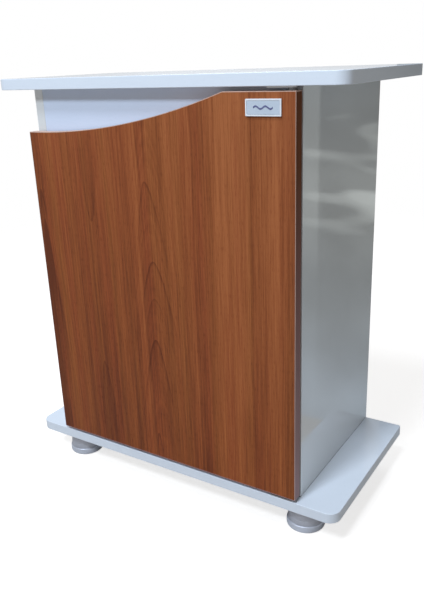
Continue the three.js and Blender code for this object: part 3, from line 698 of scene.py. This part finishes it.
def build_set_out_tree():
    """Places a template at each point, its own +Z along the point's facing, turned by a seeded angle."""
    tree = bpy.data.node_groups.new("set_out", "GeometryNodeTree")
    face = tree.interface
    face.new_socket("Geometry", in_out="INPUT", socket_type="NodeSocketGeometry")
    face.new_socket("Template", in_out="INPUT", socket_type="NodeSocketObject")
    size = face.new_socket("Size", in_out="INPUT", socket_type="NodeSocketFloat")
    size.default_value = 1.0
    spin = face.new_socket("Largest Turn", in_out="INPUT", socket_type="NodeSocketFloat")
    spin.default_value = math.pi
    seed = face.new_socket("Seed", in_out="INPUT", socket_type="NodeSocketInt")
    seed.default_value = 7
    face.new_socket("Finish", in_out="INPUT", socket_type="NodeSocketMaterial")
    face.new_socket("Geometry", in_out="OUTPUT", socket_type="NodeSocketGeometry")
    nodes, links = tree.nodes, tree.links
    given = nodes.new("NodeGroupInput")
    out = nodes.new("NodeGroupOutput")
    info = nodes.new("GeometryNodeObjectInfo")
    info.transform_space = "ORIGINAL"
    links.new(given.outputs["Template"], info.inputs["Object"])
    facing = nodes.new("GeometryNodeInputNamedAttribute")
    facing.data_type = "FLOAT_VECTOR"
    facing.inputs["Name"].default_value = "facing"
    align = nodes.new("FunctionNodeAlignRotationToVector")
    align.axis = "Z"
    links.new(facing.outputs["Attribute"], align.inputs["Vector"])
    angle = nodes.new("FunctionNodeRandomValue")
    angle.data_type = "FLOAT"
    links.new(given.outputs["Largest Turn"], angle.inputs[3])
    links.new(given.outputs["Seed"], angle.inputs["Seed"])
    about = nodes.new("FunctionNodeAxisAngleToRotation")
    about.inputs["Axis"].default_value = (0, 0, 1)
    links.new(angle.outputs[1], about.inputs["Angle"])
    turn = nodes.new("FunctionNodeRotateRotation")
    turn.rotation_space = "LOCAL"
    links.new(align.outputs["Rotation"], turn.inputs["Rotation"])
    links.new(about.outputs["Rotation"], turn.inputs["Rotate By"])
    place = nodes.new("GeometryNodeInstanceOnPoints")
    links.new(given.outputs["Geometry"], place.inputs["Points"])
    links.new(info.outputs["Geometry"], place.inputs["Instance"])
    links.new(turn.outputs["Rotation"], place.inputs["Rotation"])
    links.new(given.outputs["Size"], place.inputs["Scale"])
    real = nodes.new("GeometryNodeRealizeInstances")
    links.new(place.outputs["Instances"], real.inputs["Geometry"])
    coat = nodes.new("GeometryNodeSetMaterial")
    links.new(real.outputs["Geometry"], coat.inputs["Geometry"])
    links.new(given.outputs["Finish"], coat.inputs["Material"])
    links.new(coat.outputs["Geometry"], out.inputs["Geometry"])
    return tree


SET_OUT = build_set_out_tree()


def set_out(name, template_mesh, spots, material, nodes, turn=0.0, seed=7):
    """spots are (place, facing) pairs. Returns one plain mesh piece that replaces the CAD nodes."""
    template = new_object(name + "_template", template_mesh)
    marks = bpy.data.meshes.new(name + "_marks")
    marks.from_pydata([tuple(place) for place, _ in spots], [], [])
    facing = marks.attributes.new("facing", "FLOAT_VECTOR", "POINT")
    for index, (_, direction) in enumerate(spots):
        facing.data[index].vector = direction
    mesh = made_by(SET_OUT, name, new_object(name + "_carrier", marks), {
        "Template": template, "Size": 1.0, "Largest Turn": turn, "Seed": seed, "Finish": material,
    })
    bpy.data.objects.remove(template)
    if "facing" in mesh.attributes:
        mesh.attributes.remove(mesh.attributes["facing"])
    return finished(name, mesh, nodes)


def middle(node):
    low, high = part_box(node)
    return (low + high) / 2


# ---- Geometry Nodes: edging swept round a board ---------------------------
def build_sweep_tree():
    """Sweeps a closed section round a closed path; both come in as loops of edges."""
    tree = bpy.data.node_groups.new("edging_sweep", "GeometryNodeTree")
    face = tree.interface
    face.new_socket("Geometry", in_out="INPUT", socket_type="NodeSocketGeometry")
    face.new_socket("Section", in_out="INPUT", socket_type="NodeSocketObject")
    face.new_socket("Finish", in_out="INPUT", socket_type="NodeSocketMaterial")
    face.new_socket("Geometry", in_out="OUTPUT", socket_type="NodeSocketGeometry")
    nodes, links = tree.nodes, tree.links
    given = nodes.new("NodeGroupInput")
    out = nodes.new("NodeGroupOutput")
    path = nodes.new("GeometryNodeMeshToCurve")
    links.new(given.outputs["Geometry"], path.inputs["Mesh"])
    level = nodes.new("GeometryNodeSetCurveNormal")
    level.mode = "Z_UP"
    links.new(path.outputs["Curve"], level.inputs["Curve"])
    info = nodes.new("GeometryNodeObjectInfo")
    links.new(given.outputs["Section"], info.inputs["Object"])
    section = nodes.new("GeometryNodeMeshToCurve")
    links.new(info.outputs["Geometry"], section.inputs["Mesh"])
    sweep = nodes.new("GeometryNodeCurveToMesh")
    links.new(level.outputs["Curve"], sweep.inputs["Curve"])
    links.new(section.outputs["Curve"], sweep.inputs["Profile Curve"])
    real = nodes.new("GeometryNodeRealizeInstances")
    links.new(sweep.outputs["Mesh"], real.inputs["Geometry"])
    coat = nodes.new("GeometryNodeSetMaterial")
    links.new(real.outputs["Geometry"], coat.inputs["Geometry"])
    links.new(given.outputs["Finish"], coat.inputs["Material"])
    links.new(coat.outputs["Geometry"], out.inputs["Geometry"])
    return tree


SWEEP = build_sweep_tree()


def loop_object(name, points):
    count = len(points)
    mesh = bpy.data.meshes.new(name)
    mesh.from_pydata(points, [(i, (i + 1) % count) for i in range(count)], [])
    return new_object(name, mesh)


def corner_arc(centre_x, centre_y, radius, start, steps):
    for i in range(steps + 1):
        angle = math.radians(start + 90 * i / steps)
        yield centre_x + radius * math.cos(angle), centre_y + radius * math.sin(angle)


def edging(node):
    """Glued edging round a board: a thin section with rounded outer edges, swept along the outline."""
    low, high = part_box(node)
    middle_z, half = (low.z + high.z) / 2, (high.z - low.z) / 2
    front, rear = BOARD_FRONT_RADIUS, BOARD_REAR_RADIUS
    path = [
        *corner_arc(high.x - front, low.y + front, front, -90, 14),
        *corner_arc(high.x - rear, high.y - rear, rear, 0, 8),
        *corner_arc(low.x + rear, high.y - rear, rear, 90, 8),
        *corner_arc(low.x + front, low.y + front, front, 180, 14),
    ]
    # In the section, x is measured inwards from the outline and y upwards from the middle.
    section = [(EDGING_THICKNESS, half), (EDGING_THICKNESS, -half)]
    for sign in (-1, 1):
        turns = range(5) if sign < 0 else range(4, -1, -1)
        for step in turns:
            angle = math.radians(90 * step / 4)
            inwards = EDGING_ROUND * (1 - math.sin(angle))
            section.append((inwards, sign * (half - EDGING_ROUND * (1 - math.cos(angle)))))
    carrier = loop_object(node + "_path", [(x, y, middle_z) for x, y in path])
    shape = loop_object(node + "_section", [(-x, y, 0.0) for x, y in section])
    mesh = made_by(SWEEP, node + "_piece", carrier, {"Section": shape, "Finish": EDGING})
    bpy.data.objects.remove(shape)
    work = bmesh.new()
    work.from_mesh(mesh)
    bmesh.ops.recalc_face_normals(work, faces=work.faces)
    work.to_mesh(mesh)
    work.free()
    mesh.shade_smooth()
    weighted_normals(mesh, BLEND_BELOW)
    return finished(mesh.name, mesh, [node])


# ---- boards -------------------------------------------------------------
for board in ("top_panel", "base_panel"):
    softened(board, [WHITE], 0.0)
for strip in ("top_edge_band", "base_edge_band"):
    edging(strip)
for side in ("side_panel_left", "side_panel_right"):
    softened(side, [GLOSS_WHITE], BOARD_EDGE)
softened("front_fascia", [FASCIA], BOARD_EDGE)
for board in ("rear_rail", "shelf"):
    softened(board, [WHITE], BOARD_EDGE)
softened("back_panel", [BACKBOARD], BOARD_EDGE)

# ---- door ---------------------------------------------------------------
softened("door_panel", [WALNUT], 0.0)
softened("door_band_right", [WALNUT_EDGE, PALE_EDGE], DOOR_EDGE * 0.7, edge_material=1)
softened("door_band_left", [WALNUT_EDGE], DOOR_EDGE * 0.7)
softened("door_band_bottom", [WALNUT_EDGE], 0.0)
softened("door_band_top", [PALE_EDGE], 0.0)

# ---- name plate ---------------------------------------------------------
softened("badge_plate", [BADGE_RIM], METAL_EDGE)
softened("badge_insert", [BADGE_FACE], METAL_EDGE)
softened("badge_wave", [BADGE_MARK], 0.0)

# ---- hinges and catch ---------------------------------------------------
for level in ("lower", "upper"):
    for part, material, slot_name in (
        ("plate", STEEL, "hinge_steel"), ("leaf", STEEL, "hinge_steel"),
        ("pin", STEEL, "hinge_steel"), ("washer", WASHER, "white_nylon"),
    ):
        softened(f"hinge_{level}_{part}", [material], METAL_EDGE)
softened("catch_housing", [NYLON], METAL_EDGE * 3)
softened("catch_magnet", [MAGNET], METAL_EDGE)
softened("catch_strike", [STEEL], METAL_EDGE)

# ---- turned pieces, set out from one template each ------------------------
UP, DOWN, FORWARD, REARWARD = (0, 0, 1), (0, 0, -1), (0, -1, 0), (0, 1, 0)
INWARD_FROM_LEFT, INWARD_FROM_RIGHT = (1, 0, 0), (-1, 0, 0)


def face_centre(node, facing):
    """Middle of the face of a node's box that looks along the facing direction."""
    low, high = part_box(node)
    centre = (low + high) / 2
    for axis in range(3):
        if facing[axis] > 0:
            centre[axis] = high[axis]
        elif facing[axis] < 0:
            centre[axis] = low[axis]
    return centre


def nodes_from(*starts):
    return sorted(n for n in frame["nodes"] if n.startswith(starts))


def foot_template():
    """Turned foot on the floor plane: rounded rim, tapered body with three shallow grooves, bolt recess."""
    low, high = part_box("foot_front_left")
    radius, height = (high.x - low.x) / 2, high.z
    rim, neck, bore, recess, recess_depth = FOOT_RIM_TOP, 0.0275, 0.0043, 0.009, 0.008
    waist = radius - FOOT_SHOULDER
    profile = [(bore, recess_depth), (recess, recess_depth), (recess, 0.0006), (recess + 0.0006, 0.0)]
    for step in range(8):
        turn = math.radians(90 * step / 7)
        out = FOOT_FLOOR_ROUND * (1 - math.sin(turn))
        profile.append((radius - out, FOOT_FLOOR_ROUND * (1 - math.cos(turn))))
    for step in range(1, 6):
        turn = math.radians(90 * step / 5)
        out = FOOT_SHOULDER * (1 - math.cos(turn))
        profile.append((radius - out, rim - FOOT_SHOULDER_RISE * (1 - math.sin(turn))))
    for groove in range(1, FOOT_GROOVES + 1):
        z = rim + (height - rim) * groove / (FOOT_GROOVES + 1)
        for dz, sink in GROOVE_SECTION:
            share = (z + dz - rim) / (height - rim)
            profile.append((waist + (neck - waist) * share - sink, z + dz))
    profile += [(neck, height - 0.0005), (neck - 0.0004, height), (bore, height)]
    return turned_mesh("foot_template", profile, 96, FOOT, loop=True)


def bolt_template():
    """Foot bolt, head down: a chamfered cap with a hexagon socket, and a plain shank."""
    low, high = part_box("foot_bolt_front_left")
    head, shank, top, bottom = 0.007, 0.004, high.z, low.z
    return turned_mesh("bolt_template", [
        (0, bottom + 0.0032), (0.0026, bottom + 0.0032, hexagon_ring),
        (0.0026, bottom + 0.0003, hexagon_ring), (0.0029, bottom, hexagon_ring),
        (head - 0.0010, bottom), (head - 0.0003, bottom + 0.0004), (head, bottom + 0.0011),
        (head, bottom + 0.0052), (head - 0.0002, bottom + 0.0055),
        (shank, bottom + 0.0055), (shank, top - 0.0008), (shank - 0.0008, top), (0, top),
    ], 48, ZINC)


def countersunk_template():
    """Wood screw, face at the origin: cross recess, conical head, ridged shank and point."""
    shank = 0.0016
    profile = [(0, -0.0014), (0.0009, -0.0013, cross_ring), (0.0018, -0.0001, cross_ring),
               (0.0019, 0, cross_ring), (0.0030, 0), (0.0032, -0.0001), (shank, -0.0017)]
    for turn in range(9):
        z = -0.0024 - turn * 0.0010
        profile += [(shank, z), (shank - 0.00035, z - 0.0005)]
    profile += [(0.0008, -0.0119), (0, -0.0126)]
    return turned_mesh("countersunk_template", profile, 48, ZINC)


def pan_template():
    """Pan-headed screw, top of the head at the origin, with a long plain shank."""
    shank, head = 0.0016, 0.0032
    return turned_mesh("pan_template", [
        (0, -0.0012), (0.0009, -0.0011, cross_ring), (0.0017, -0.00005, cross_ring), (0.0018, 0, cross_ring),
        (0.0022, 0), (0.0028, -0.0003), (head, -0.0010), (head, -0.0016), (head - 0.0002, -0.0018),
        (shank, -0.0018), (shank, -0.0270), (0.0008, -0.0288), (0, -0.0292),
    ], 48, ZINC)


def cam_template():
    """Cam lock, face at the origin: a rimmed disc with a cross slot."""
    radius, depth = 0.0075, 0.012
    return turned_mesh("cam_template", [
        (0, -0.0016), (0.0040, -0.0015, cross_ring), (0.0045, -0.0003, cross_ring),
        (0.0047, -0.0003, cross_ring), (0.0058, -0.0003), (0.0061, 0), (radius - 0.0003, 0),
        (radius, -0.0003), (radius, -depth + 0.0004),
        (radius - 0.0004, -depth), (0, -depth),
    ], 48, ZINC)


def bumper_template():
    """Stick-on bumper, foot at the origin: a low rounded dome."""
    low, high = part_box("door_bumper_lower")
    radius, height = (high.x - low.x) / 2, high.y - low.y
    profile = [(0, 0), (radius - 0.0002, 0), (radius, 0.0002)]
    for step in range(1, 9):
        turn = math.radians(90 * step / 8)
        profile.append((radius * (0.35 + 0.65 * math.cos(turn)), height * (0.3 + 0.7 * math.sin(turn))))
    profile.append((0, height))
    return turned_mesh("bumper_template", profile, 32, BUMPER)


feet = nodes_from("foot_front", "foot_rear")
bolts = nodes_from("foot_bolt")
floor_spots = [(Vector((*middle(n).xy, 0)), UP) for n in feet]
set_out("feet", foot_template(), floor_spots, FOOT, feet, turn=math.tau)
set_out("foot_bolts", bolt_template(), [(Vector((*middle(n).xy, 0)), UP) for n in bolts], ZINC,
        bolts, turn=math.tau, seed=11)

cams = nodes_from("cam_lock")
hinge_screws = [n for n in nodes_from("hinge_") if "_screw_" in n]
catch_screws = nodes_from("catch_screw")
for name, template, nodes, facing_of, seed in (
    ("cam_locks", cam_template, cams,
     lambda n: INWARD_FROM_LEFT if n.endswith("left") else INWARD_FROM_RIGHT, 3),
    ("hinge_screws", countersunk_template, hinge_screws, lambda n: UP if "lower" in n else DOWN, 5),
    ("strike_screw", countersunk_template, ["catch_strike_screw"], lambda n: REARWARD, 7),
    ("catch_screws", pan_template, catch_screws, lambda n: INWARD_FROM_LEFT, 9),
):
    spots = [(face_centre(n, facing_of(n)), facing_of(n)) for n in nodes]
    set_out(name, template(), spots, ZINC, nodes, turn=math.tau, seed=seed)
bumpers = nodes_from("door_bumper")
set_out("bumpers", bumper_template(), [(face_centre(n, FORWARD), REARWARD) for n in bumpers], BUMPER,
        bumpers)
for pin in nodes_from("shelf_pin"):
    softened(pin, [ZINC], METAL_EDGE)


# ---- room ---------------------------------------------------------------
def build_room():
    bpy.ops.mesh.primitive_circle_add(vertices=96, radius=14.0, fill_type="NGON", location=(0, 0, 0))
    floor = bpy.context.object
    floor.name = "floor"
    material, net, shader, place = new_material("pale_floor")
    marks = place_group(net, SURFACE, place, Smudge_Scale=1.5, Peel_Scale=60.0, Dust=0.0)
    net.join(net.mix(marks.outputs["Smudge"], (0.60, 0.56, 0.52, 1), (0.58, 0.54, 0.50, 1)),
             shader.inputs["Base Color"])
    shader.inputs["Roughness"].default_value = 0.9
    shader.inputs["Emission Color"].default_value = (1, 1, 1, 1)
    ray = net.node("ShaderNodeLightPath")
    glow = net.math("MULTIPLY", ray.outputs["Is Camera Ray"], FLOOR_GLOW)
    net.join(glow, shader.inputs["Emission Strength"])
    far = net.node("ShaderNodeVectorMath", operation="LENGTH")
    net.join(place, far.inputs[0])
    from_above = net.math("SUBTRACT", 1.0, net.node("ShaderNodeNewGeometry").outputs["Backfacing"])
    faded = net.remap(far.outputs["Value"], *FLOOR_CLEAR, 1.0, 0.0)
    net.join(net.math("MULTIPLY", faded, from_above), shader.inputs["Alpha"])
    floor.data.materials.append(material)


def build_card():
    """A dim card with soft level streaks; the glossy side panel mirrors it as it would mirror a room."""
    low, high = CARD_SPAN
    corners = [(low, CARD_PLACE, 0.0), (high, CARD_PLACE, 0.0), (high, CARD_PLACE, CARD_TOP),
               (low, CARD_PLACE, CARD_TOP)]
    mesh = bpy.data.meshes.new("reflector")
    mesh.from_pydata(corners, [], [(0, 1, 2, 3)])
    card = new_object("reflector", mesh)
    material = bpy.data.materials.new("reflector")
    material.use_nodes = True
    net = Net(material.node_tree)
    material.node_tree.nodes.clear()
    place = net.node("ShaderNodeTexCoord").outputs["Object"]
    axes = net.axes(place)
    streaks = net.noise(net.stretch(place, (5.5, 1.0, 26.0)), 1.0, 1.0, 0.5, 0.3)
    upper = net.remap(axes["Z"], 0.36, 0.46)
    bright = net.math("MULTIPLY", net.math("MULTIPLY", net.remap(streaks, 0.55, 0.75), 0.75), upper)
    cloudy = net.remap(net.noise(net.stretch(place, (4.0, 1.0, 5.0)), 1.0, 2.0), 0.35, 0.7, 0.15, 0.45)
    lower = net.remap(axes["Z"], 0.05, 0.62, 0.42, 0.0)
    room = net.math("ADD", net.math("ADD", bright, cloudy), lower)
    beside = net.remap(axes["X"], CARD_SPLIT - 0.002, CARD_SPLIT + 0.002)
    lifted = net.math("MULTIPLY", beside, net.remap(axes["Z"], 0.30, 0.46, 0.15, 1.0))
    total = net.math("ADD", room, net.math("MULTIPLY", lifted, 0.38))
    strength = net.math("MULTIPLY", total, CARD_POWER)
    glow = net.node("ShaderNodeEmission")
    tint = net.mix(net.remap(axes["Z"], 0.10, 0.45), CARD_LOW_COLOUR, CARD_HIGH_COLOUR)
    net.join(tint, glow.inputs["Color"])
    net.join(strength, glow.inputs["Strength"])
    net.join(glow.outputs[0], net.node("ShaderNodeOutputMaterial").inputs["Surface"])
    mesh.materials.append(material)
    card.visible_camera = False
    card.visible_diffuse = False
    card.visible_shadow = False
    card.visible_transmission = False


def lamp_at(name, place, size, power):
    data = bpy.data.lights.new(name, "AREA")
    data.shape = "DISK"
    data.size = size
    data.energy = power
    data.color = KEY_COLOUR
    lamp = new_object(name, data)
    lamp.location = place
    lamp.rotation_euler = (place - LIT_MIDDLE).to_track_quat("Z", "Y").to_euler()
    lamp.visible_camera = False


def build_light():
    lamp_at("key", KEY_PLACE, KEY_SIZE, KEY_POWER)
    lamp_at("top", TOP_PLACE, TOP_SIZE, TOP_POWER)
    lamp_at("rear", REAR_PLACE, REAR_SIZE, REAR_POWER)
    world = bpy.data.worlds.new("studio")
    bpy.context.scene.world = world
    world.use_nodes = True
    net = Net(world.node_tree)
    world.node_tree.nodes.clear()
    ray = net.node("ShaderNodeLightPath")
    extra = net.math("MULTIPLY", ray.outputs["Is Glossy Ray"], SKY_GLOSS - SKY_LIGHT)
    strength = net.math("ADD", SKY_LIGHT, extra)
    light = net.node("ShaderNodeBackground")
    light.inputs["Color"].default_value = (*SKY_COLOUR, 1)
    net.join(strength, light.inputs["Strength"])
    seen = net.node("ShaderNodeBackground", Strength=1.0)
    seen.inputs["Color"].default_value = (1, 1, 1, 1)
    both = net.node("ShaderNodeMixShader")
    out = net.node("ShaderNodeOutputWorld")
    net.join(ray.outputs["Is Camera Ray"], both.inputs[0])
    net.join(light.outputs[0], both.inputs[1])
    net.join(seen.outputs[0], both.inputs[2])
    net.join(both.outputs[0], out.inputs["Surface"])


def build_camera():
    level = math.cos(EYE_PITCH)
    ahead = Vector((-math.sin(EYE_YAW) * level, math.cos(EYE_YAW) * level, math.sin(EYE_PITCH)))
    right = Vector((math.cos(EYE_YAW), math.sin(EYE_YAW), 0))
    up = right.cross(ahead)
    right_rolled = right * math.cos(EYE_ROLL) + up * math.sin(EYE_ROLL)
    up_rolled = up * math.cos(EYE_ROLL) - right * math.sin(EYE_ROLL)
    data = bpy.data.cameras.new("view")
    data.lens = LENS
    data.sensor_width = SENSOR
    data.sensor_fit = "AUTO"
    data.clip_start = 0.05
    data.clip_end = 60
    camera = new_object("view", data)
    turn = Matrix((right_rolled, up_rolled, -ahead)).transposed().to_4x4()
    camera.matrix_world = Matrix.Translation(EYE) @ turn
    bpy.context.scene.camera = camera


build_room()
build_card()
build_light()
build_camera()
bpy.context.scene.view_settings.view_transform = "Standard"
